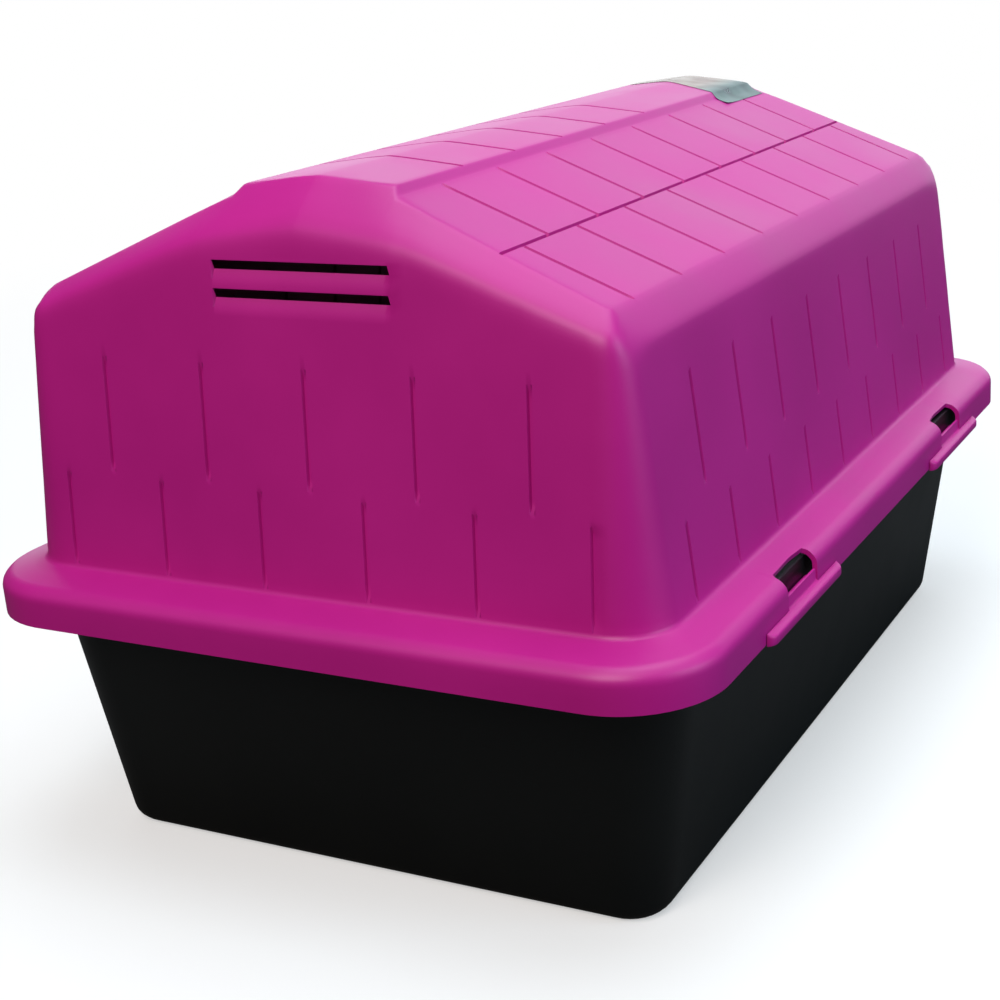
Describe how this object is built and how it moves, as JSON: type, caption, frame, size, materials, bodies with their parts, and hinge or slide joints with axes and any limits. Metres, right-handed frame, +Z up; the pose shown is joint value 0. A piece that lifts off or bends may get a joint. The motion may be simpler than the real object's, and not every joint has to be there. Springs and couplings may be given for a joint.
{
  "type": "pet house",
  "caption": "Two-piece moulded pet house: tapered tub, lift-off cover shaped like a small house with shingled roof, vent slots, doorway and snap latches along its rim.",
  "frame": {"origin": "on the floor under the middle of the house", "axes": "+Z up, ridge along Y, doorway towards -Y, vented gable towards +Y"},
  "size_m": [0.477, 0.66, 0.4095],
  "materials": {
    "black_polypropylene": "moulded, satin",
    "magenta_polypropylene": "moulded, satin",
    "clear_film": "clear film, blank"
  },
  "bodies": {
    "tub": {"base_tub": "black_polypropylene"},
    "cover": {"roof_cover": "magenta_polypropylene", "ridge_label": "clear_film"},
    "left_rear_latch": {"left_rear_latch": "magenta_polypropylene"},
    "left_front_latch": {"left_front_latch": "magenta_polypropylene"},
    "right_rear_latch": {"right_rear_latch": "magenta_polypropylene"},
    "right_front_latch": {"right_front_latch": "magenta_polypropylene"}
  },
  "joints": [
    {"name": "cover_lift", "type": "slide", "parent": "tub", "child": "cover", "axis": [0, 0, 1], "range_m": [0, 0.3]},
    {"name": "left_rear_flex", "type": "hinge", "parent": "cover", "child": "left_rear_latch", "pos_m": [-0.2285, 0.161, 0.1751], "axis": [0, 1, 0], "range_deg": [0, 10], "stiffness_Nm_per_rad": 0.5},
    {"name": "left_front_flex", "type": "hinge", "parent": "cover", "child": "left_front_latch", "pos_m": [-0.2285, -0.161, 0.1751], "axis": [0, 1, 0], "range_deg": [0, 10], "stiffness_Nm_per_rad": 0.5},
    {"name": "right_rear_flex", "type": "hinge", "parent": "cover", "child": "right_rear_latch", "pos_m": [0.2285, 0.161, 0.1751], "axis": [0, -1, 0], "range_deg": [0, 10], "stiffness_Nm_per_rad": 0.5},
    {"name": "right_front_flex", "type": "hinge", "parent": "cover", "child": "right_front_latch", "pos_m": [0.2285, -0.161, 0.1751], "axis": [0, -1, 0], "range_deg": [0, 10], "stiffness_Nm_per_rad": 0.5}
  ]
}
